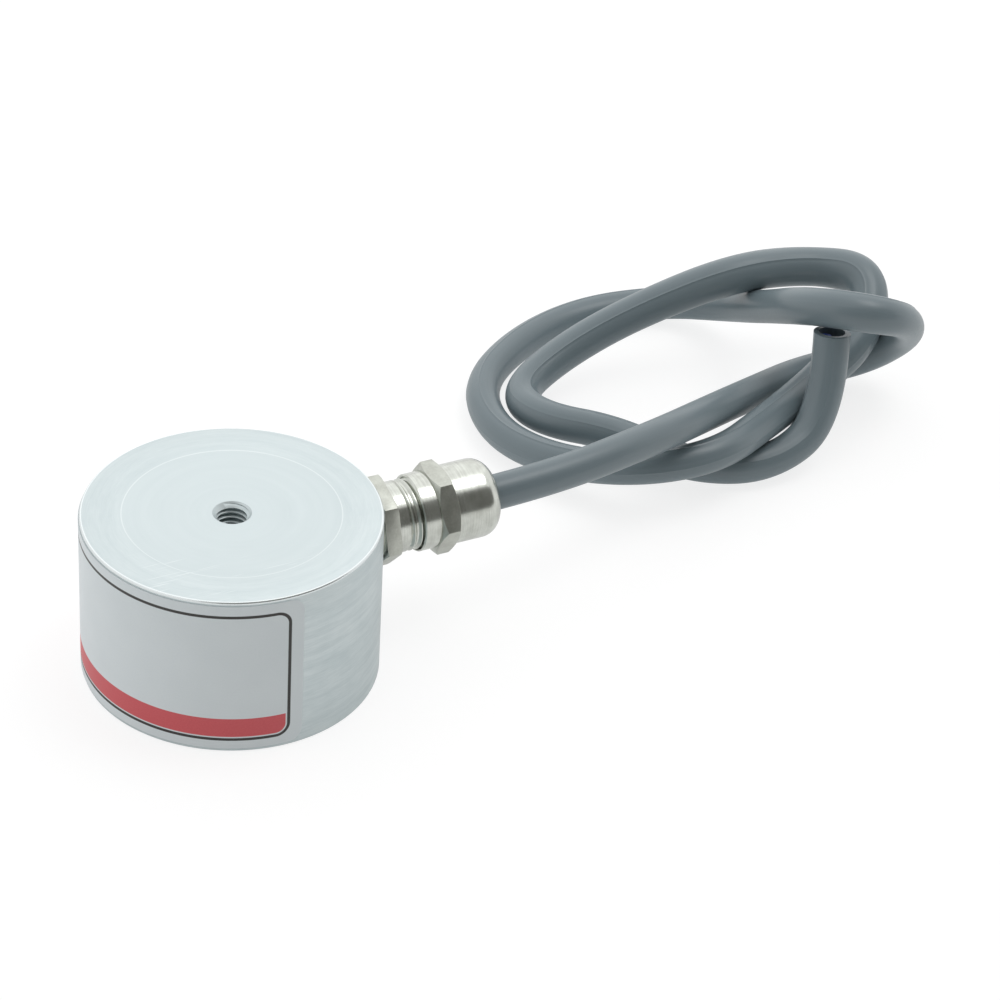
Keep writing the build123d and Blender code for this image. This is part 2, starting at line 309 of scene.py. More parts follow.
def coat(piece, *materials):
    """Gives a piece its materials in place of those it has."""
    piece.data.materials.clear()
    for material in materials:
        piece.data.materials.append(material)


# Materials of the outside


def zinc_plate():
    """Bright zinc plate on turned mild steel: soft, slightly blue metal with faint clouds and tool lines."""
    material, tree, shader = start_material("zinc_plated_turned_steel", Metallic=1.0)
    place = add(tree, "ShaderNodeTexCoord", give="Object")
    split = add(tree, "ShaderNodeSeparateXYZ", {0: place}).node.outputs
    flat = add(tree, "ShaderNodeVectorMath", {0: place, 1: (1, 1, 0)}, operation="MULTIPLY")
    radius = add(tree, "ShaderNodeVectorMath", {0: flat}, give="Value", operation="LENGTH")
    on_back = add(tree, "ShaderNodeMath", {0: split[2], 1: pot_h - RIM_BEVEL}, operation="GREATER_THAN")
    on_pole = add(tree, "ShaderNodeMath", {0: split[2], 1: POLE_BEVEL}, operation="LESS_THAN")
    on_flat = add(tree, "ShaderNodeMath", {0: on_back, 1: on_pole}, operation="MAXIMUM")
    across = add(tree, "ShaderNodeMix", {0: on_flat, 2: split[2], 3: radius})
    stack = add(tree, "ShaderNodeCombineXYZ", {2: across})
    turned_place = add(tree, "ShaderNodeVectorMath", {0: flat, 1: stack}, operation="ADD")
    # The tool's feed is about 0.1 mm, and its lines are drawn 0.22 mm apart so that they show
    fine_place = add(tree, "ShaderNodeMapping", {"Vector": turned_place, "Scale": scale(2.6, 2.6, 0.22)})
    feed = {"Vector": fine_place, "Scale": 1.0, "Detail": 3.0, "Roughness": 0.6}
    fine = add(tree, "ShaderNodeTexNoise", feed)
    # Broader bands where the feed or the tool changed, and clouds from the plating bath
    broad_place = add(tree, "ShaderNodeMapping", {"Vector": turned_place, "Scale": scale(22, 22, 1.3)})
    broad = add(tree, "ShaderNodeTexNoise", {"Vector": broad_place, "Scale": 1.0, "Detail": 2.0})
    clouds = add(tree, "ShaderNodeTexNoise", {"Vector": place, "Scale": 1 / (5 * MM), "Detail": 4.0})
    # A few hairline scratches from handling on one side of the back, about 0.1 mm wide and 8 mm long
    scratch_place = add(
        tree,
        "ShaderNodeMapping",
        {"Vector": place, "Rotation": (0, 0, math.radians(-24)), "Scale": scale(9, 0.3, 4)},
    )
    scratch_noise = add(tree, "ShaderNodeTexNoise", {"Vector": scratch_place, "Scale": 1.0, "Detail": 1.0})
    scratches = add(tree, "ShaderNodeMapRange", {0: scratch_noise, 1: 0.66, 2: 0.76, 3: 0.0, 4: 0.45})
    toward = {0: place, 1: (-0.3, -0.95, 0)}
    one_side = add(tree, "ShaderNodeVectorMath", toward, give="Value", operation="DOT_PRODUCT")
    one_side = add(tree, "ShaderNodeMapRange", {0: one_side, 1: 9 * MM, 2: 16 * MM})
    scratches = add(tree, "ShaderNodeMath", {0: scratches, 1: one_side}, operation="MULTIPLY")
    scratches = add(tree, "ShaderNodeMath", {0: scratches, 1: on_back}, operation="MULTIPLY")
    # The edge between the two cuts of the back is drawn as a fine lighter line in the colour
    edge = {0: radius, 1: RING_R - RING_SLOPE / 2, 2: 0.09 * MM}
    ring_line = add(tree, "ShaderNodeMath", edge, operation="COMPARE")
    ring_line = add(tree, "ShaderNodeMath", {0: ring_line, 1: 0.35}, operation="MULTIPLY")
    ring_line = add(tree, "ShaderNodeMath", {0: ring_line, 1: on_back}, operation="MULTIPLY")
    bright = add(tree, "ShaderNodeMath", {0: scratches, 1: ring_line}, operation="MAXIMUM")
    # The rim's small bevel is smoother than the faces beside it, and its colour is lightened as a painted
    # highlight, so it shows as a bright edge
    past_rim = add(tree, "ShaderNodeMath", {0: radius, 1: pot_r - RIM_BEVEL}, operation="GREATER_THAN")
    on_rim = add(tree, "ShaderNodeMath", {0: past_rim, 1: on_back}, operation="MULTIPLY")
    rim_painted_highlight = add(tree, "ShaderNodeMath", {0: on_rim, 1: 0.6}, operation="MULTIPLY")
    bright = add(tree, "ShaderNodeMath", {0: bright, 1: rim_painted_highlight}, operation="MAXIMUM")
    soft_edge = {0: radius, 1: RING_R - 1.5 * MM, 2: RING_R + 1.5 * MM, 3: 0.3, 4: 1.0}
    outside_ring = add(tree, "ShaderNodeMapRange", soft_edge)
    lines = add(tree, "ShaderNodeMix", {0: outside_ring, 2: 0.5, 3: fine})
    tone = add(tree, "ShaderNodeMix", {0: 0.55, 2: lines, 3: broad})
    tone = add(tree, "ShaderNodeMix", {0: 0.35, 2: tone, 3: clouds})
    tone = add(tree, "ShaderNodeMapRange", {0: tone, 1: 0.36, 2: 0.64, 3: 0.0, 4: 1.0})
    # The back was turned with a finer feed, finest inside the ring, so its tones lie closer together
    calm = add(tree, "ShaderNodeMapRange", {0: outside_ring, 1: 0.3, 2: 1.0, 3: 0.75, 4: 0.45})
    calm = add(tree, "ShaderNodeMath", {0: calm, 1: on_flat}, operation="MULTIPLY")
    tone = add(tree, "ShaderNodeMix", {0: calm, 2: tone, 3: 0.6})
    plate = add(tree, "ShaderNodeMix", {0: tone, 6: colour("#BCC7C9"), 7: colour("#D3DBDC")}, **COLOURS)
    # Scratches and the ring line are lighter in colour; on the rim's bevel the lightening is a painted
    # highlight
    plate = add(tree, "ShaderNodeMix", {0: bright, 6: plate, 7: colour("#EDF1F1")}, **COLOURS)
    tree.links.new(plate, shader["Base Color"])
    rough = add(tree, "ShaderNodeMapRange", {0: clouds, 1: 0.3, 2: 0.7, 3: 0.40, 4: 0.50})
    rough = add(tree, "ShaderNodeMix", {0: on_rim, 2: rough, 3: 0.22})
    tree.links.new(rough, shader["Roughness"])
    height = add(tree, "ShaderNodeMath", {0: scratches, 1: -0.5, 2: lines}, operation="MULTIPLY_ADD")
    bump = add(tree, "ShaderNodeBump", {"Height": height, "Strength": 1.0, "Distance": 0.008 * MM})
    tree.links.new(bump, shader["Normal"])
    return material


def nickel_plate():
    """Nickel plate on turned brass: warm bright metal, with tool lines round it, and grainy, duller flats
    whose colour is darkened as painted shade.
    """
    material, tree, shader = start_material("nickel_plated_brass", Metallic=1.0)
    place = add(tree, "ShaderNodeTexCoord", give="Object")
    along = add(tree, "ShaderNodeSeparateXYZ", {0: place})
    hexes = []
    nut_hex_start = nut_start + COLLAR_L
    for start, end in ((pot_r, pot_r + BODY_HEX_T), (nut_hex_start, nut_hex_start + NUT_HEX_T)):
        sockets = {0: along, 1: (start + end) / 2, 2: (end - start) / 2}
        hexes.append(add(tree, "ShaderNodeMath", sockets, operation="COMPARE"))
    on_hex = add(tree, "ShaderNodeMath", {0: hexes[0], 1: hexes[1]}, operation="MAXIMUM")
    # Tool lines of about 0.08 mm, drawn 0.2 mm apart so that they show
    lines_place = add(tree, "ShaderNodeMapping", {"Vector": place, "Scale": scale(0.2, 6, 6)})
    lines = add(tree, "ShaderNodeTexNoise", {"Vector": lines_place, "Scale": 1.0, "Detail": 2.0})
    # Grain of the drawn hexagon bar, and stains some millimetres wide under the plate
    bar = {"Vector": place, "Scale": 1 / (0.35 * MM), "Detail": 4.0, "Roughness": 0.65}
    grain = add(tree, "ShaderNodeTexNoise", bar)
    stain = add(tree, "ShaderNodeTexNoise", {"Vector": place, "Scale": 1 / (2.2 * MM), "Detail": 3.0})
    relief = add(tree, "ShaderNodeMix", {0: on_hex, 2: lines, 3: grain})
    tone = add(tree, "ShaderNodeMix", {0: 0.6, 2: relief, 3: stain})
    tone = add(tree, "ShaderNodeMapRange", {0: tone, 1: 0.38, 2: 0.62, 3: 0.0, 4: 1.0})
    plate = add(tree, "ShaderNodeMix", {0: tone, 6: colour("#BCBEB7"), 7: colour("#D2D5CE")}, **COLOURS)
    # The hexagon flats' colour is darkened: painted shade standing for the shaded floor that they reflect
    hex_painted_shade = add(tree, "ShaderNodeMath", {0: on_hex, 1: 0.55}, operation="MULTIPLY")
    hex_painted_shade_mix = {0: hex_painted_shade, 6: plate, 7: colour("#DCDCD8")}
    plate = add(tree, "ShaderNodeMix", hex_painted_shade_mix, **COLOURS, blend_type="MULTIPLY")
    tree.links.new(plate, shader["Base Color"])
    rough = add(tree, "ShaderNodeMapRange", {0: on_hex, 3: 0.17, 4: 0.30})
    rough = add(tree, "ShaderNodeMath", {0: stain, 1: 0.08, 2: rough}, operation="MULTIPLY_ADD")
    tree.links.new(rough, shader["Roughness"])
    depth = add(tree, "ShaderNodeMapRange", {0: on_hex, 3: 0.0025 * MM, 4: 0.02 * MM})
    bump = add(tree, "ShaderNodeBump", {"Height": relief, "Strength": 1.0, "Distance": depth})
    tree.links.new(bump, shader["Normal"])
    return material


def grey_pvc(cable_length):
    """Extruded soft PVC sheath: a satin blue-grey skin with faint lines along it and slight unevenness."""
    material, tree, shader = start_material("extruded_grey_pvc", IOR=1.53)
    place = add(tree, "ShaderNodeTexCoord", give="Object")
    along = add(tree, "ShaderNodeTexCoord", give="UV")
    # Die lines of some hundredths of a millimetre, drawn 0.5 mm apart and 45 mm long so that they show
    girth = math.pi * CABLE_D
    stretch = (cable_length / (45 * MM), girth / (0.5 * MM), 1)
    lines_place = add(tree, "ShaderNodeMapping", {"Vector": along, "Scale": stretch})
    lines = add(tree, "ShaderNodeTexNoise", {"Vector": lines_place, "Scale": 1.0, "Detail": 2.0})
    peel = add(tree, "ShaderNodeTexNoise", {"Vector": place, "Scale": 1 / (0.45 * MM), "Detail": 3.0})
    cast = add(tree, "ShaderNodeTexNoise", {"Vector": place, "Scale": 1 / (9 * MM), "Detail": 2.0})
    tone = add(tree, "ShaderNodeMix", {0: 0.5, 2: lines, 3: cast})
    skin = add(tree, "ShaderNodeMix", {0: tone, 6: colour("#6A777C"), 7: colour("#758288")}, **COLOURS)
    tree.links.new(skin, shader["Base Color"])
    rough = add(tree, "ShaderNodeMapRange", {0: peel, 1: 0.3, 2: 0.7, 3: 0.29, 4: 0.38})
    tree.links.new(rough, shader["Roughness"])
    height = add(tree, "ShaderNodeMix", {0: 0.5, 2: lines, 3: peel})
    bump = add(tree, "ShaderNodeBump", {"Height": height, "Strength": 1.0, "Distance": 0.006 * MM})
    tree.links.new(bump, shader["Normal"])
    return material


def cut_pvc():
    """Freshly cut PVC: paler and duller than the skin, with the drag marks of the cutters."""
    material, tree, shader = start_material("cut_pvc", IOR=1.53, Roughness=0.6)
    place = add(tree, "ShaderNodeTexCoord", give="Object")
    drag = add(tree, "ShaderNodeMapping", {"Vector": place, "Scale": scale(0.3, 2, 0.3)})
    marks = add(tree, "ShaderNodeTexNoise", {"Vector": drag, "Scale": 1.0, "Detail": 3.0})
    face = add(tree, "ShaderNodeMix", {0: marks, 6: colour("#8A9598"), 7: colour("#A8B1B3")}, **COLOURS)
    tree.links.new(face, shader["Base Color"])
    bump = add(tree, "ShaderNodeBump", {"Height": marks, "Strength": 1.0, "Distance": 0.03 * MM})
    tree.links.new(bump, shader["Normal"])
    return material


def printed_film(width, height):
    """Silver-grey polyester label film, satin, with a screen-printed border and a red field at its foot."""
    material, tree, shader = start_material("printed_label_film", IOR=1.5)
    across = add(tree, "ShaderNodeTexCoord", give="UV")
    # Places in metres from the label's lower left corner
    sheet = add(tree, "ShaderNodeVectorMath", {0: across, 1: (width, height, 0)}, operation="MULTIPLY")
    # Distance from the border's middle line, less than nothing inside it
    half = Vector((width / 2 - BORDER_END_INSET, (height - BORDER_TOP_INSET - BORDER_FOOT_INSET) / 2, 0))
    middle = (width / 2, BORDER_FOOT_INSET + half.y, 0)
    core = half - Vector((BORDER_CORNER, BORDER_CORNER, 0))
    centred = add(tree, "ShaderNodeVectorMath", {0: sheet, 1: middle}, operation="SUBTRACT")
    folded = add(tree, "ShaderNodeVectorMath", {0: centred}, operation="ABSOLUTE")
    beyond = add(tree, "ShaderNodeVectorMath", {0: folded, 1: core}, operation="SUBTRACT")
    outer = add(tree, "ShaderNodeVectorMath", {0: beyond, 1: (0, 0, 0)}, operation="MAXIMUM")
    reach = add(tree, "ShaderNodeVectorMath", {0: outer}, give="Value", operation="LENGTH")
    parts = add(tree, "ShaderNodeSeparateXYZ", {0: beyond}).node.outputs
    larger = add(tree, "ShaderNodeMath", {0: parts[0], 1: parts[1]}, operation="MAXIMUM")
    inside = add(tree, "ShaderNodeMath", {0: larger, 1: 0.0}, operation="MINIMUM")
    distance = add(tree, "ShaderNodeMath", {0: reach, 1: inside}, operation="ADD")
    distance = add(tree, "ShaderNodeMath", {0: distance, 1: BORDER_CORNER}, operation="SUBTRACT")
    from_line = add(tree, "ShaderNodeMath", {0: distance}, operation="ABSOLUTE")
    up = add(tree, "ShaderNodeSeparateXYZ", {0: sheet}, give=1)
    limits = [
        (from_line, BORDER_LINE / 2),
        (distance, -BORDER_LINE / 2 - FIELD_GAP),
        (up, FIELD_TOP - label_low.z),
    ]
    masks = []
    for measure, limit in limits:
        soft_edge = {0: measure, 1: limit - PRINT_EDGE, 2: limit + PRINT_EDGE, 3: 1.0, 4: 0.0}
        masks.append(add(tree, "ShaderNodeMapRange", soft_edge))
    line, in_border, below = masks
    field = add(tree, "ShaderNodeMath", {0: in_border, 1: below}, operation="MULTIPLY")
    # The film's own grain and the ink's mottle, both about a tenth of a millimetre, drawn at 0.3 mm
    grain = add(tree, "ShaderNodeTexNoise", {"Vector": sheet, "Scale": 1 / (0.3 * MM), "Detail": 3.0})
    cast = add(tree, "ShaderNodeTexNoise", {"Vector": sheet, "Scale": 1 / (7 * MM), "Detail": 2.0})
    tone = add(tree, "ShaderNodeMix", {0: 0.5, 2: grain, 3: cast})
    film = add(tree, "ShaderNodeMix", {0: tone, 6: colour("#CDD5D8"), 7: colour("#DAE1E3")}, **COLOURS)
    ink = add(tree, "ShaderNodeMix", {0: grain, 6: colour("#C4454C"), 7: colour("#D25A60")}, **COLOURS)
    printed = add(tree, "ShaderNodeMix", {0: field, 6: film, 7: ink}, **COLOURS)
    printed = add(tree, "ShaderNodeMix", {0: line, 6: printed, 7: colour("#2C2B28")}, **COLOURS)
    tree.links.new(printed, shader["Base Color"])
    rough = add(tree, "ShaderNodeMapRange", {0: grain, 1: 0.3, 2: 0.7, 3: 0.38, 4: 0.46})
    tree.links.new(rough, shader["Roughness"])
    inked = add(tree, "ShaderNodeMath", {0: field, 1: line}, operation="MAXIMUM")
    height_map = add(tree, "ShaderNodeMath", {0: grain, 1: 0.25, 2: inked}, operation="MULTIPLY_ADD")
    bump = add(tree, "ShaderNodeBump", {"Height": height_map, "Strength": 1.0, "Distance": 0.006 * MM})
    tree.links.new(bump, shader["Normal"])
    return material


# Materials of the inside


def plain_grain(name, dark, light, grain_mm, relief_mm, **sockets):
    """A material with one grain of a given size: two close tones of colour and a fine relief."""
    material, tree, shader = start_material(name, **sockets)
    place = add(tree, "ShaderNodeTexCoord", give="Object")
    grain = add(tree, "ShaderNodeTexNoise", {"Vector": place, "Scale": 1 / (grain_mm * MM), "Detail": 3.0})
    tone = add(tree, "ShaderNodeMix", {0: grain, 6: colour(dark), 7: colour(light)}, **COLOURS)
    tree.links.new(tone, shader["Base Color"])
    bump = add(tree, "ShaderNodeBump", {"Height": grain, "Strength": 1.0, "Distance": relief_mm * MM})
    tree.links.new(bump, shader["Normal"])
    return material


def wound_wire():
    """Enamelled copper wire, close wound: amber brown metal in fine rings round the core, lighter on each
    round's crest and darker in the grooves as painted highlight and shade.
    """
    material, tree, shader = start_material(
        "enamelled_copper_wire", Metallic=1.0, Roughness=0.3, Coat_Weight=0.6
    )
    place = add(tree, "ShaderNodeTexCoord", give="Object")
    # Rounds of wire lie 0.3 mm above each other
    up = add(tree, "ShaderNodeSeparateXYZ", {0: place}, give=2)
    turns = add(tree, "ShaderNodeMath", {0: up, 1: 2 * math.pi / (0.3 * MM)}, operation="MULTIPLY")
    wave = add(tree, "ShaderNodeMath", {0: turns}, operation="SINE")
    tone = add(tree, "ShaderNodeMapRange", {0: wave, 1: -1.0, 2: 1.0})
    # Colour follows the relief's wave: painted highlight on each round's crest, painted shade in the groove
    # between rounds
    wire = add(tree, "ShaderNodeMix", {0: tone, 6: colour("#6E3414"), 7: colour("#B5652F")}, **COLOURS)
    tree.links.new(wire, shader["Base Color"])
    bump = add(tree, "ShaderNodeBump", {"Height": wave, "Strength": 1.0, "Distance": 0.03 * MM})
    tree.links.new(bump, shader["Normal"])
    return material


# Modelling helpers


def chosen():
    """The piece that the last operator made."""
    return bpy.context.object


def take(piece):
    """Makes one piece the selected and active one."""
    bpy.ops.object.select_all(action="DESELECT")
    piece.select_set(True)
    bpy.context.view_layer.objects.active = piece


def edit(piece):
    """Enters edit mode on a piece with nothing selected."""
    take(piece)
    bpy.ops.object.mode_set(mode="EDIT")
    bpy.ops.mesh.select_all(action="DESELECT")


def leave():
    """Leaves edit mode."""
    bpy.ops.object.mode_set(mode="OBJECT")


def pick(kind, test):
    """Selects, in edit mode, the verts, edges or faces whose middle passes a test."""
    bpy.ops.mesh.select_mode(type={"verts": "VERT", "edges": "EDGE", "faces": "FACE"}[kind])
    bpy.ops.mesh.select_all(action="DESELECT")
    mesh = bmesh.from_edit_mesh(bpy.context.object.data)
    for item in getattr(mesh, kind):
        if kind == "verts":
            middle = item.co
        elif kind == "edges":
            middle = (item.verts[0].co + item.verts[1].co) / 2
        else:
            middle = item.calc_center_median()
        if test(middle):
            item.select_set(True)
    mesh.select_flush_mode()
    bmesh.update_edit_mesh(bpy.context.object.data)


def use(piece, kind, **settings):
    """Adds a modifier to a piece and applies it."""
    take(piece)
    modifier = piece.modifiers.new(kind.title(), kind)
    for name, value in settings.items():
        setattr(modifier, name, value)
    bpy.ops.object.modifier_apply(modifier=modifier.name)
    return piece


def cut(piece, tool, operation="DIFFERENCE"):
    """Cuts a piece with a tool, or joins or meets them, and deletes the tool."""
    use(piece, "BOOLEAN", object=tool, operation=operation, solver="EXACT")
    bpy.data.objects.remove(tool)
    return piece


def add_mesh(name, points, edges=(), faces=()):
    """A new piece from points, edges and faces."""
    mesh = bpy.data.meshes.new(name)
    mesh.from_pydata(points, edges, faces)
    piece = bpy.data.objects.new(name, mesh)
    bpy.context.scene.collection.objects.link(piece)
    return piece


def merge():
    """Selects all in edit mode and makes one of points that lie on one another."""
    bpy.ops.mesh.select_all(action="SELECT")
    bpy.ops.mesh.remove_doubles(threshold=MERGE)


def turned(name, outline, sides):
    """Solid turned about local Z from (radius, station) points, closed on the axis or on itself."""
    piece = add_mesh(name, [(r, 0, z) for r, z in outline], [(i, i + 1) for i in range(len(outline) - 1)])
    edit(piece)
    bpy.ops.mesh.select_all(action="SELECT")
    bpy.ops.mesh.spin(steps=sides, angle=2 * math.pi, center=(0, 0, 0), axis=(0, 0, 1))
    merge()
    bpy.ops.mesh.normals_make_consistent(inside=False)
    leave()
    return piece


def threaded_rod(name, root_r, crest_r, pitch, start, end, sides):
    """Rod with a right-hand thread, cut off square at both stations."""
    rise, crest, fall, root = THREAD_FLANKS
    profile = [(root_r, 0), (root_r, rise), (crest_r, crest), (crest_r, fall), (root_r, root), (root_r, 1)]
    turns = math.ceil((end - start) / pitch) + 2
    points = [(r, 0, start - pitch + share * pitch) for r, share in profile]
    piece = add_mesh(name, points, [(i, i + 1) for i in range(len(points) - 1)])
    use(
        piece, "SCREW", axis="Z", angle=2 * math.pi, screw_offset=pitch, iterations=turns, steps=sides,
        render_steps=sides, use_smooth_shade=False,
    )
    edit(piece)
    merge()
    for station, direction in ((start, -1), (end, 1)):
        bpy.ops.mesh.select_all(action="SELECT")
        bpy.ops.mesh.bisect(
            plane_co=(0, 0, station), plane_no=(0, 0, direction), use_fill=True, clear_outer=True,
            threshold=CUT_MERGE,
        )
    bpy.ops.mesh.select_all(action="SELECT")
    bpy.ops.mesh.normals_make_consistent(inside=False)
    leave()
    return piece


def arc(middle_r, middle_z, radius, start_deg, end_deg, count):
    """Points of an arc in an outline."""
    angles = [math.radians(start_deg + (end_deg - start_deg) * i / count) for i in range(count + 1)]
    return [(middle_r + radius * math.cos(a), middle_z + radius * math.sin(a)) for a in angles]


def hexagon(name, start, end, turn, chamfer):
    """Hexagon with its corners turned off at both ends and its edges broken."""
    corner_r = HEX_AF / math.sqrt(3)
    bpy.ops.object.select_all(action="DESELECT")
    bpy.ops.mesh.primitive_cylinder_add(
        vertices=6, radius=corner_r, depth=end - start, location=(0, 0, (start + end) / 2),
        rotation=(0, 0, math.radians(turn + 30)),
    )
    piece = chosen()
    piece.name = name
    bpy.ops.object.transform_apply(location=True, rotation=True, scale=True)
    inset = chamfer / math.tan(math.radians(HEX_CHAMFER_ANGLE))
    beyond = OVERRUN / math.tan(math.radians(HEX_CHAMFER_ANGLE))
    limit = turned(
        "limit",
        [
            (0, start - OVERRUN),
            (corner_r - inset - beyond, start - OVERRUN),
            (corner_r + inset, start + 2 * chamfer),
            (corner_r + inset, end - 2 * chamfer),
            (corner_r - inset - beyond, end + OVERRUN),
            (0, end + OVERRUN),
        ],
        GLAND_SIDES,
    )
    cut(piece, limit, "INTERSECT")
    corner = math.radians(HEX_EDGE_ANGLE)
    return use(piece, "BEVEL", width=HEX_EDGE_BEVEL, segments=2, limit_method="ANGLE", angle_limit=corner)


def finish_piece(piece, name, node, angle=30.0):
    """Names a piece, shades it, and hands it to the frame in place of its node."""
    piece.name = name
    piece.data.name = name
    # Cuts and bevels leave points on one another along their seams
    edit(piece)
    merge()
    leave()
    take(piece)
    bpy.ops.object.transform_apply(location=True, rotation=True, scale=True)
    bpy.ops.object.shade_smooth_by_angle(angle=math.radians(angle))
    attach(piece, "root")
    if node:
        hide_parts(node)
    return piece


# Pieces


def pot():
    """Pot turned from one bar: bevelled rims, slot and core below, tapped hole in the back."""
    bpy.ops.object.select_all(action="DESELECT")
    bpy.ops.mesh.primitive_cylinder_add(
        vertices=ROUND_SIDES, radius=pot_r, depth=pot_h, location=(0, 0, pot_h / 2)
    )
    piece = chosen()
    bpy.ops.object.transform_apply(location=True, rotation=True, scale=True)
    edit(piece)
    pick("faces", lambda p: p.z < NEAR)
    bpy.ops.mesh.inset(thickness=pot_r - slot_r)
    bpy.ops.mesh.extrude_region_move(TRANSFORM_OT_translate={"value": (0, 0, slot_top)})
    bpy.ops.mesh.inset(thickness=slot_r - CORE_R)
    bpy.ops.mesh.extrude_region_move(TRANSFORM_OT_translate={"value": (0, 0, -slot_top)})
    # The second cut of the back face leaves a fine ring
    pick("faces", lambda p: p.z > pot_h - NEAR)
    bpy.ops.mesh.inset(thickness=pot_r - RING_R)
    bpy.ops.mesh.inset(thickness=RING_SLOPE, depth=-RING_STEP)
    pick("edges", lambda p: abs(p.z - pot_h) < NEAR and p.xy.length > pot_r - NEAR)
    bpy.ops.mesh.bevel(offset=RIM_BEVEL, segments=3, affect="EDGES")
    pick("edges", lambda p: p.z < NEAR and p.xy.length > pot_r - NEAR)
    bpy.ops.mesh.bevel(offset=POLE_BEVEL, segments=3, affect="EDGES")
    pick("edges", lambda p: p.z < NEAR and min(abs(p.xy.length - r) for r in (slot_r, CORE_R)) < NEAR)
    bpy.ops.mesh.bevel(offset=SLOT_BEVEL, segments=2, affect="EDGES")
    leave()
    # The hole: the tap's thread, then a drill with its point and the countersink in one
    floor_z = pot_h - THREAD_DEPTH
    over = pot_h + OVERRUN
    cut(piece, threaded_rod("tap", THREAD_MINOR_R, THREAD_MAJOR_R, THREAD_PITCH, floor_z, over, THREAD_SIDES))
    sink = COUNTERSINK_R - THREAD_MINOR_R
    drill_r = DRILL_SHARE * THREAD_MINOR_R
    drill = turned(
        "drill",
        [
            (0, floor_z - DRILL_POINT_SHARE * THREAD_MINOR_R),
            (drill_r, floor_z),
            (drill_r, pot_h - sink - (THREAD_MINOR_R - drill_r)),
            (COUNTERSINK_R + OVERRUN, over),
            (0, over),
        ],
        THREAD_SIDES,
    )
    cut(piece, drill)
    out = pot_r + OVERRUN
    hole = turned(
        "hole", [(0, ENTRY_HOLE_X), (ENTRY_HOLE_R, ENTRY_HOLE_X), (ENTRY_HOLE_R, out), (0, out)], GLAND_SIDES
    )
    hole.data.transform(GLAND_PLACE)
    cut(piece, hole)
    return finish_piece(piece, "turned_pot", "pot_housing", POT_SMOOTH_ANGLE)


def entry_body():
    """Gland's entry body: hexagon, plain shank and thread for the nut, with bore and seat."""
    start = pot_r
    hex_end = start + BODY_HEX_T
    shank_end = hex_end + SHANK_L
    slope = SHANK_SLOPE_SHARE * (NUT_THREAD_R - NUT_THREAD_ROOT_R)
    piece = hexagon("body", start, hex_end, BODY_HEX_TURN, BODY_HEX_CHAMFER)
    shank = turned(
        "shank",
        [
            (0, entry_end),
            (ENTRY_R - ENTRY_CHAMFER, entry_end),
            (ENTRY_R, entry_end + ENTRY_CHAMFER),
            (ENTRY_R, start + HEX_OVERLAP),
            (NUT_THREAD_R, start + HEX_OVERLAP),
            (NUT_THREAD_R, shank_end),
            (NUT_THREAD_ROOT_R - THREAD_ROOT_GAP, shank_end + slope),
            (0, shank_end + slope),
        ],
        GLAND_SIDES,
    )
    cut(piece, shank, "UNION")
    thread_start = hex_end + THREAD_START_GAP
    rod = threaded_rod(
        "rod", NUT_THREAD_ROOT_R, NUT_THREAD_R, NUT_THREAD_PITCH, thread_start, body_end, GLAND_SIDES
    )
    cut(piece, rod, "UNION")
    bore = turned(
        "bore",
        [
            (0, entry_end - OVERRUN),
            (MOUTH_R, entry_end - OVERRUN),
            (MOUTH_R, body_end - SEAT_DEPTH),
            (SEAT_R, body_end - SEAT_DEPTH),
            (SEAT_R, body_end + OVERRUN),
            (0, body_end + OVERRUN),
        ],
        GLAND_SIDES,
    )
    cut(piece, bore)
    piece.data.transform(GLAND_PLACE)
    return finish_piece(piece, "gland_entry_body", "gland_body")


def dome_nut():
    """Pressure nut: collar, hexagon with turned corners and a rounded dome, hollow inside."""
    hex_start = nut_start + COLLAR_L
    hex_end = hex_start + NUT_HEX_T
    piece = hexagon("nut", hex_start, hex_end, 0, NUT_HEX_CHAMFER)
    outside = [
        (0, nut_start),
        (COLLAR_R - COLLAR_EASE, nut_start),
        (COLLAR_R, nut_start + COLLAR_EASE),
        (COLLAR_R, hex_start + DOME_SLOPE[0] * NUT_HEX_T),
        (DOME_R, hex_start + DOME_SLOPE[1] * NUT_HEX_T),
    ]
    outside += arc(DOME_R - DOME_ROUND, nut_end - DOME_ROUND, DOME_ROUND, 0, 90, DOME_STEPS)
    outside.append((0, nut_end))
    cut(piece, turned("dome", outside, GLAND_SIDES), "UNION")
    inside = [
        (0, nut_start - OVERRUN),
        (NUT_BORE_R + NUT_BORE_LIP + OVERRUN, nut_start - OVERRUN),
        (NUT_BORE_R, nut_start + NUT_BORE_LIP),
        (NUT_BORE_R, body_end + CAVITY_GAP),
        (CAVITY_R, body_end + CAVITY_GAP),
        (CAVITY_R, mouth_start),
        (MOUTH_R, mouth_start),
        (MOUTH_R, nut_end - MOUTH_EASE),
        (MOUTH_R + MOUTH_EASE + OVERRUN, nut_end + OVERRUN),
        (0, nut_end + OVERRUN),
    ]
    cut(piece, turned("inside", inside, GLAND_SIDES))
    piece.data.transform(GLAND_PLACE)
    return finish_piece(piece, "gland_pressure_nut", "gland_dome_nut")


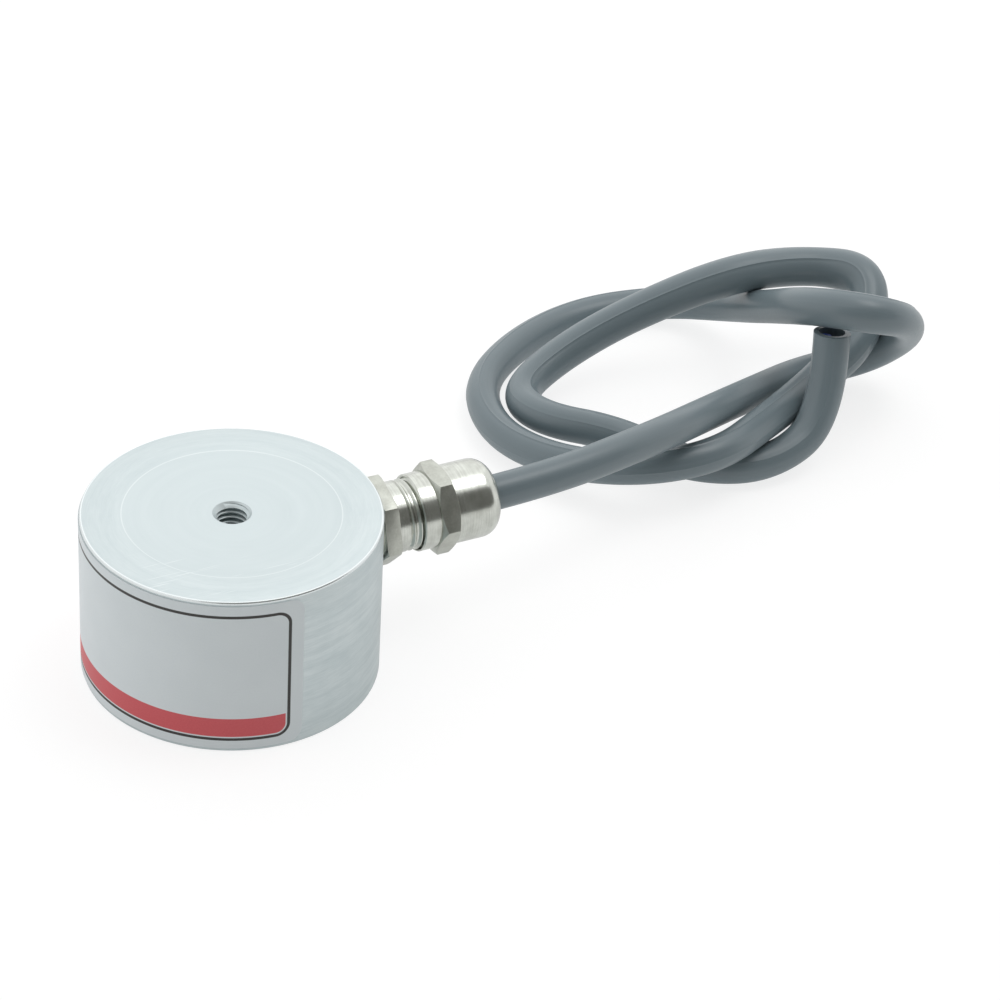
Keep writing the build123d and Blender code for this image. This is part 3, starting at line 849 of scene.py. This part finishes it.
def label():
    """Printed label bent round the pot's side, with rounded corners: returns it, its width and height."""
    width = math.radians(LABEL_SWEEP) * pot_r
    height = label_high.z - label_low.z
    bpy.ops.object.select_all(action="DESELECT")
    bpy.ops.mesh.primitive_plane_add(size=1, location=(0, 0, 0))
    piece = chosen()
    piece.scale = (width, height, 1)
    bpy.ops.object.transform_apply(location=True, rotation=True, scale=True)
    edit(piece)
    bpy.ops.mesh.select_all(action="SELECT")
    bpy.ops.mesh.bevel(offset=LABEL_CORNER, segments=LABEL_CORNER_STEPS, affect="VERTICES")
    for i in range(1, LABEL_COLUMNS):
        bpy.ops.mesh.select_all(action="SELECT")
        bpy.ops.mesh.bisect(plane_co=(width * (i / LABEL_COLUMNS - 0.5), 0, 0), plane_no=(1, 0, 0))
    leave()
    sheet = piece.data
    layer = sheet.uv_layers.active or sheet.uv_layers.new(name="print")
    for loop in sheet.loops:
        x, y, _ = sheet.vertices[loop.vertex_index].co
        layer.data[loop.index].uv = (0.5 + x / width, 0.5 + y / height)
    middle = math.radians(LABEL_START + LABEL_SWEEP / 2)
    mid_z = (label_low.z + label_high.z) / 2
    for vertex in sheet.vertices:
        x, y, _ = vertex.co
        angle = middle + x / pot_r
        vertex.co = (pot_r * math.cos(angle), pot_r * math.sin(angle), mid_z + y)
    use(piece, "SOLIDIFY", thickness=LABEL_T, offset=1)
    return finish_piece(piece, "printed_label", "label_sheet"), width, height


def resin():
    """Cast resin in the slot, with the shallow dish that it shrinks to between core and rim."""
    middle_r = (CORE_R + slot_r) / 2
    half = (slot_r - CORE_R) / 2
    shares = [-1 + 2 * i / RESIN_STEPS for i in range(RESIN_STEPS + 1)]
    outline = [(middle_r + s * half, resin_low.z + RESIN_DISH * math.sqrt(1 - s**2)) for s in shares]
    outline += [(slot_r, slot_top), (CORE_R, slot_top), outline[0]]
    piece = turned("resin", outline, ROUND_SIDES)
    return finish_piece(piece, "cast_resin", "potting_resin")


# Cable


def route_rings():
    """Centre, forward, first side and second side of each ring along the route's smooth line."""
    data = bpy.data.curves.new("route", "CURVE")
    data.dimensions = "3D"
    data.resolution_u = ROUTE_STEPS
    spline = data.splines.new("NURBS")
    spline.points.add(len(CABLE_ROUTE) - 1)
    for target, (x, y, z) in zip(spline.points, CABLE_ROUTE):
        target.co = (x * MM, y * MM, z * MM, 1)
    spline.order_u = 3
    spline.use_endpoint_u = True
    line = bpy.data.objects.new("route", data)
    bare = bpy.data.meshes.new_from_object(line)
    centres = [vertex.co.copy() for vertex in bare.vertices]
    bpy.data.meshes.remove(bare)
    bpy.data.objects.remove(line)
    last = len(centres) - 1
    forwards = [(centres[min(i + 1, last)] - centres[max(i - 1, 0)]).normalized() for i in range(last + 1)]
    # Each ring's side is the last one's, turned as little as the bend asks, so that the tube has no twist
    rings = []
    side = Vector((0, 0, 1))
    for i, (centre, forward) in enumerate(zip(centres, forwards)):
        if i:
            side.rotate(forwards[i - 1].rotation_difference(forward))
        side = (side - forward * side.dot(forward)).normalized()
        rings.append((centre, forward, side.copy(), forward.cross(side)))
    return rings


def blended(stations, place):
    """Value at a place between stations of (place, value), easing in and out."""
    for (start, low), (end, high) in zip(stations, stations[1:]):
        if place <= end:
            share = max(0, (place - start) / (end - start))
            return low + (high - low) * share * share * (3 - 2 * share)
    return stations[-1][1]


def section():
    """Angles and added heights round one ring: even steps, and a fine raised line at each seam."""
    full = 2 * math.pi
    around = [(full * i / RING_SIDES, 0) for i in range(RING_SIDES)]
    for turn, height in ((0, SEAM_HEIGHT), (math.radians(SECOND_SEAM_TURN), SECOND_SEAM_HEIGHT)):
        around = [(a, h) for a, h in around if abs((a - turn + math.pi) % full - math.pi) > SEAM_CLEAR]
        around += [(turn + step, share * height) for step, share in SEAM_PROFILE]
    return sorted((a % full, h) for a, h in around)


def slant_end(rings):
    """Turns the last rings step by step, so that the cut faces a little to one side as cutters leave it."""
    for k in range(CUT_SLANT_RINGS):
        centre, forward, side, other = rings[-1 - k]
        angle = math.radians(CUT_SLANT) * (1 - k / CUT_SLANT_RINGS)
        turn = Matrix.Rotation(angle, 3, forward.cross(Vector(CUT_SIDE)))
        rings[-1 - k] = (centre, turn @ forward, turn @ side, turn @ other)


def ring_points(centre, side, other, around, radius, seam=1.0):
    """Points of one ring of the tube, with its seams at a share of their height."""
    points = []
    for angle, height in around:
        a = angle + math.radians(SEAM_TURN)
        points.append(centre + (side * math.cos(a) + other * math.sin(a)) * (radius + seam * height))
    return points


def tube_faces(ring_count, count):
    """Faces of a tube of rings of points, closed by one face at each end."""
    faces = []
    for ring in range(ring_count - 1):
        here = ring * count
        there = here + count
        for j in range(count):
            k = (j + 1) % count
            faces.append((here + j, here + k, there + k, there + j))
    faces.append(tuple(reversed(range(count))))
    faces.append(tuple((ring_count - 1) * count + j for j in range(count)))
    return faces


def unwrap(mesh, around, stations):
    """Lays the tube flat for its pattern, in shares of its length and of its girth."""
    count = len(around)
    layer = mesh.uv_layers.new(name="along")
    strips = (len(stations) - 1) * count
    for index, face in enumerate(mesh.polygons):
        closes = index < strips and index % count == count - 1
        for loop_index in face.loop_indices:
            ring, j = divmod(mesh.loops[loop_index].vertex_index, count)
            share = 1.0 if closes and j == 0 else around[j][0] / (2 * math.pi)
            layer.data[loop_index].uv = (stations[ring] / stations[-1], share)


def cable():
    """Grey sheath as one tube along the route, a little wide in the fold and bored at its cut end."""
    rings = route_rings()
    slant_end(rings)
    around = section()
    points = []
    stations = [0.0]
    for i, (centre, _, side, other) in enumerate(rings):
        width = blended(CABLE_WIDTHS, i / ROUTE_STEPS + 0.5)
        points += ring_points(centre, side, other, around, CABLE_D / 2 * width)
        if i:
            stations.append(stations[-1] + (centre - rings[i - 1][0]).length)
    length = stations[-1]
    # The cut end: eased edge, flat cut face, bore wall and its floor
    centre, forward, side, other = rings[-1]
    front = centre + forward * CUT_AHEAD
    points += ring_points(front, side, other, around, CABLE_D / 2 - CUT_EDGE_EASE)
    points += ring_points(front, side, other, around, CABLE_D / 2 - CUT_FACE_EASE, 0)
    points += ring_points(front, side, other, around, SHEATH_BORE_R, 0)
    points += ring_points(centre - forward * BORE_DEPTH, side, other, around, SHEATH_BORE_R, 0)
    ring_count = len(points) // len(around)
    stations += [length] * (ring_count - len(rings))
    piece = add_mesh("cable", points, faces=tube_faces(ring_count, len(around)))
    unwrap(piece.data, around, stations)
    for index, face in enumerate(piece.data.polygons):
        if index >= len(rings) * len(around):
            face.material_index = 1
    finish_piece(piece, "cable", "cable_sheath", CABLE_SMOOTH_ANGLE)
    cores = cable_cores(rings[-1])
    return piece, cores, length


def cable_cores(ring):
    """Ends of the two cores in the cut: insulation round a slightly lower bunch of copper strands."""
    centre, forward, side, other = ring
    outline = [
        (0, -BORE_DEPTH),
        (CORE_D / 2, -BORE_DEPTH),
        (CORE_D / 2, -CORE_RECESS - CORE_EASE),
        (CORE_D / 2 - CORE_EASE, -CORE_RECESS),
        (CONDUCTOR_R, -CORE_RECESS),
        (CONDUCTOR_R, -CORE_RECESS - CONDUCTOR_RECESS),
        (0, -CORE_RECESS - CORE_EASE),
    ]
    model = turned("core", outline, CORE_SIDES)
    for face in model.data.polygons:
        if face.center.xy.length < 0.95 * CONDUCTOR_R:
            face.material_index = 1
    upright = Matrix((side, other, forward)).transposed().to_4x4()
    cores = []
    for name, turn in CORE_TURNS.items():
        piece = model.copy()
        piece.data = model.data.copy()
        bpy.context.scene.collection.objects.link(piece)
        angle = math.radians(turn)
        offset = (side * math.cos(angle) + other * math.sin(angle)) * (CORE_D / 2 + CORE_GAP)
        piece.data.transform(Matrix.Translation(centre + offset) @ upright)
        cores.append(finish_piece(piece, "cut_core_" + name, None))
    bpy.data.objects.remove(model)
    return cores


# Stage, lamps and camera


def see_white(tree, direct, mirrored, bounced):
    """Share of plain white that the camera, then reflections and clear pieces, then soft light see."""
    rays = add(tree, "ShaderNodeLightPath").node.outputs
    seen = add(tree, "ShaderNodeMath", {0: rays["Is Camera Ray"], 1: direct}, operation="MULTIPLY")
    both = {0: rays["Is Glossy Ray"], 1: rays["Is Transmission Ray"]}
    through = add(tree, "ShaderNodeMath", both, operation="MAXIMUM")
    through = add(tree, "ShaderNodeMath", {0: through, 1: mirrored}, operation="MULTIPLY")
    soft = add(tree, "ShaderNodeMath", {0: rays["Is Diffuse Ray"], 1: bounced}, operation="MULTIPLY")
    seen = add(tree, "ShaderNodeMath", {0: seen, 1: through}, operation="MAXIMUM")
    return add(tree, "ShaderNodeMath", {0: seen, 1: soft}, operation="MAXIMUM")


def stage():
    """Pale floor that keeps a faint shadow, white surroundings and a dark card on the camera's side."""
    bpy.ops.object.select_all(action="DESELECT")
    bpy.ops.mesh.primitive_plane_add(size=FLOOR_SIZE, location=(0, 0, 0))
    floor = chosen()
    floor.name = "floor"
    material, tree, shader = start_material("pale_floor", Roughness=0.9, Specular_IOR_Level=0.0)
    shader["Base Color"].default_value = colour("#F4F4F4")
    share = see_white(tree, direct=0.7, mirrored=0.3, bounced=0.5)
    white = add(tree, "ShaderNodeEmission", {"Color": (1, 1, 1, 1), "Strength": 1.12})
    lit = tree.nodes["Principled BSDF"].outputs[0]
    mixed = add(tree, "ShaderNodeMixShader", {0: share, 1: lit, 2: white})
    tree.links.new(mixed, tree.nodes["Material Output"].inputs["Surface"])
    # The floor's white is a background and no lamp
    material.cycles.emission_sampling = "NONE"
    coat(floor, material)

    world = bpy.data.worlds.new("room")
    world.use_nodes = True
    bpy.context.scene.world = world
    tree = world.node_tree
    share = see_white(tree, direct=1.0, mirrored=1.0, bounced=0.0)
    strength = add(tree, "ShaderNodeMapRange", {0: share, 3: 0.9, 4: 1.0})
    tree.links.new(strength, tree.nodes["Background"].inputs["Strength"])
    tree.nodes["Background"].inputs["Color"].default_value = (1, 1, 1, 1)

    bpy.ops.object.select_all(action="DESELECT")
    bpy.ops.mesh.primitive_plane_add(size=1, location=(0, 0, 0))
    card = chosen()
    card.name = "dark_card"
    card.scale = (*CARD_SIZE, 1)
    toward = Vector(CARD_TOWARD)
    card.rotation_euler = toward.to_track_quat("Z", "Y").to_euler()
    card.location = Vector(CARD_FROM) + toward
    bpy.ops.object.transform_apply(location=True, rotation=True, scale=True)
    material, _, shader = start_material("grey_card", Roughness=0.9)
    shader["Base Color"].default_value = colour("#70706D")
    coat(card, material)
    card.visible_camera = False
    card.visible_shadow = False


def lamp(name, place, target, size, power):
    """Soft square lamp that points at a place."""
    data = bpy.data.lights.new(name, "AREA")
    data.shape = "SQUARE"
    data.size = size
    data.energy = power
    light = bpy.data.objects.new(name, data)
    bpy.context.scene.collection.objects.link(light)
    light.location = place
    light.rotation_euler = (Vector(target) - Vector(place)).to_track_quat("-Z", "Y").to_euler()
    light.visible_camera = False


def camera():
    """Camera at the photo's angle."""
    data = bpy.data.cameras.new("camera")
    data.sensor_width = CAMERA_SENSOR
    data.lens = CAMERA_LENS
    data.clip_start = CAMERA_CLIP
    view = bpy.data.objects.new("camera", data)
    bpy.context.scene.collection.objects.link(view)
    turn = Matrix.Rotation(math.radians(CAMERA_YAW - 90), 4, "Z")
    tilt = Matrix.Rotation(math.radians(90 - CAMERA_PITCH), 4, "X")
    roll = Matrix.Rotation(math.radians(CAMERA_ROLL), 4, "Z")
    view.matrix_world = Matrix.Translation(CAMERA_PLACE) @ turn @ tilt @ roll
    bpy.context.scene.camera = view


bpy.context.scene.view_settings.view_transform = "Standard"
camera()
stage()
lamp("back_box", place=(0.34, 0.66, 0.62), target=(0.04, 0.02, 0.02), size=1.2, power=1.3)
lamp("top_box", place=(0.45, -0.07, 0.94), target=(0.07, 0.03, 0.02), size=0.45, power=1.7)

# Materials by the record's slot
label_piece, label_width, label_height = label()
cable_piece, core_pieces, cable_length = cable()
# Bare copper strands: bright reddish metal, broken up by the wires' fine ends
copper = plain_grain("bare_copper_strands", "#B5713F", "#E0A070", 0.2, 0.03, Metallic=1.0, Roughness=0.3)
zinc = zinc_plate()
nickel = nickel_plate()
# Cast resin: nearly black and glossy, with a slight unevenness
resin_material = plain_grain(
    "cast_black_resin", "#0C0C0E", "#1B1B1D", 1.5, 0.02, IOR=1.55, Roughness=0.15, Coat_Weight=0.3
)
sheath = grey_pvc(cable_length)
# Insulation of the cores, extruded in soft PVC: plain and satin
brown = plain_grain("extruded_brown_pvc", "#4A2A16", "#5E3820", 0.4, 0.01, IOR=1.53, Roughness=0.4)
blue = plain_grain("extruded_blue_pvc", "#1E3F8E", "#2B51A6", 0.4, 0.01, IOR=1.53, Roughness=0.4)
slots = {
    "zinc_plated_steel": zinc,
    "nickel_plated_brass": nickel,
    "grey_sheath": sheath,
    "brown_insulation": brown,
    "blue_insulation": blue,
    "bare_copper": copper,
    "potting_resin": resin_material,
    "label_film": printed_film(label_width, label_height),
    "enamelled_copper": wound_wire(),
    # Moulded nylon: milky white and satin
    "nylon": plain_grain("moulded_nylon", "#D2CFC4", "#E2DFD5", 0.8, 0.01, IOR=1.53, Roughness=0.5),
    # Polyester tape: smooth glossy film in amber yellow
    "polyester_tape": plain_grain(
        "polyester_tape", "#C79A22", "#E0B53C", 2.0, 0.01, IOR=1.64, Roughness=0.25
    ),
    # Shrunk polyolefin: black and satin, a little rippled by the heat
    "shrink_sleeve": plain_grain("shrunk_polyolefin_sleeve", "#0D0D0D", "#1C1C1C", 0.6, 0.03, Roughness=0.5),
    # Moulded nitrile rubber: black and dull
    "seal_rubber": plain_grain("moulded_nitrile_rubber", "#101010", "#202020", 0.3, 0.02, Roughness=0.65),
}
for part in frame["record"]["subparts"]:
    coat(frame["nodes"][part["node"]], slots[part["material_slot"]])

# Pieces in place of plain solids
coat(pot(), zinc)
coat(entry_body(), nickel)
coat(dome_nut(), nickel)
coat(resin(), resin_material)
coat(label_piece, slots["label_film"])
coat(cable_piece, sheath, cut_pvc())
for core_piece, insulation in zip(core_pieces, (brown, blue)):
    coat(core_piece, insulation, copper)
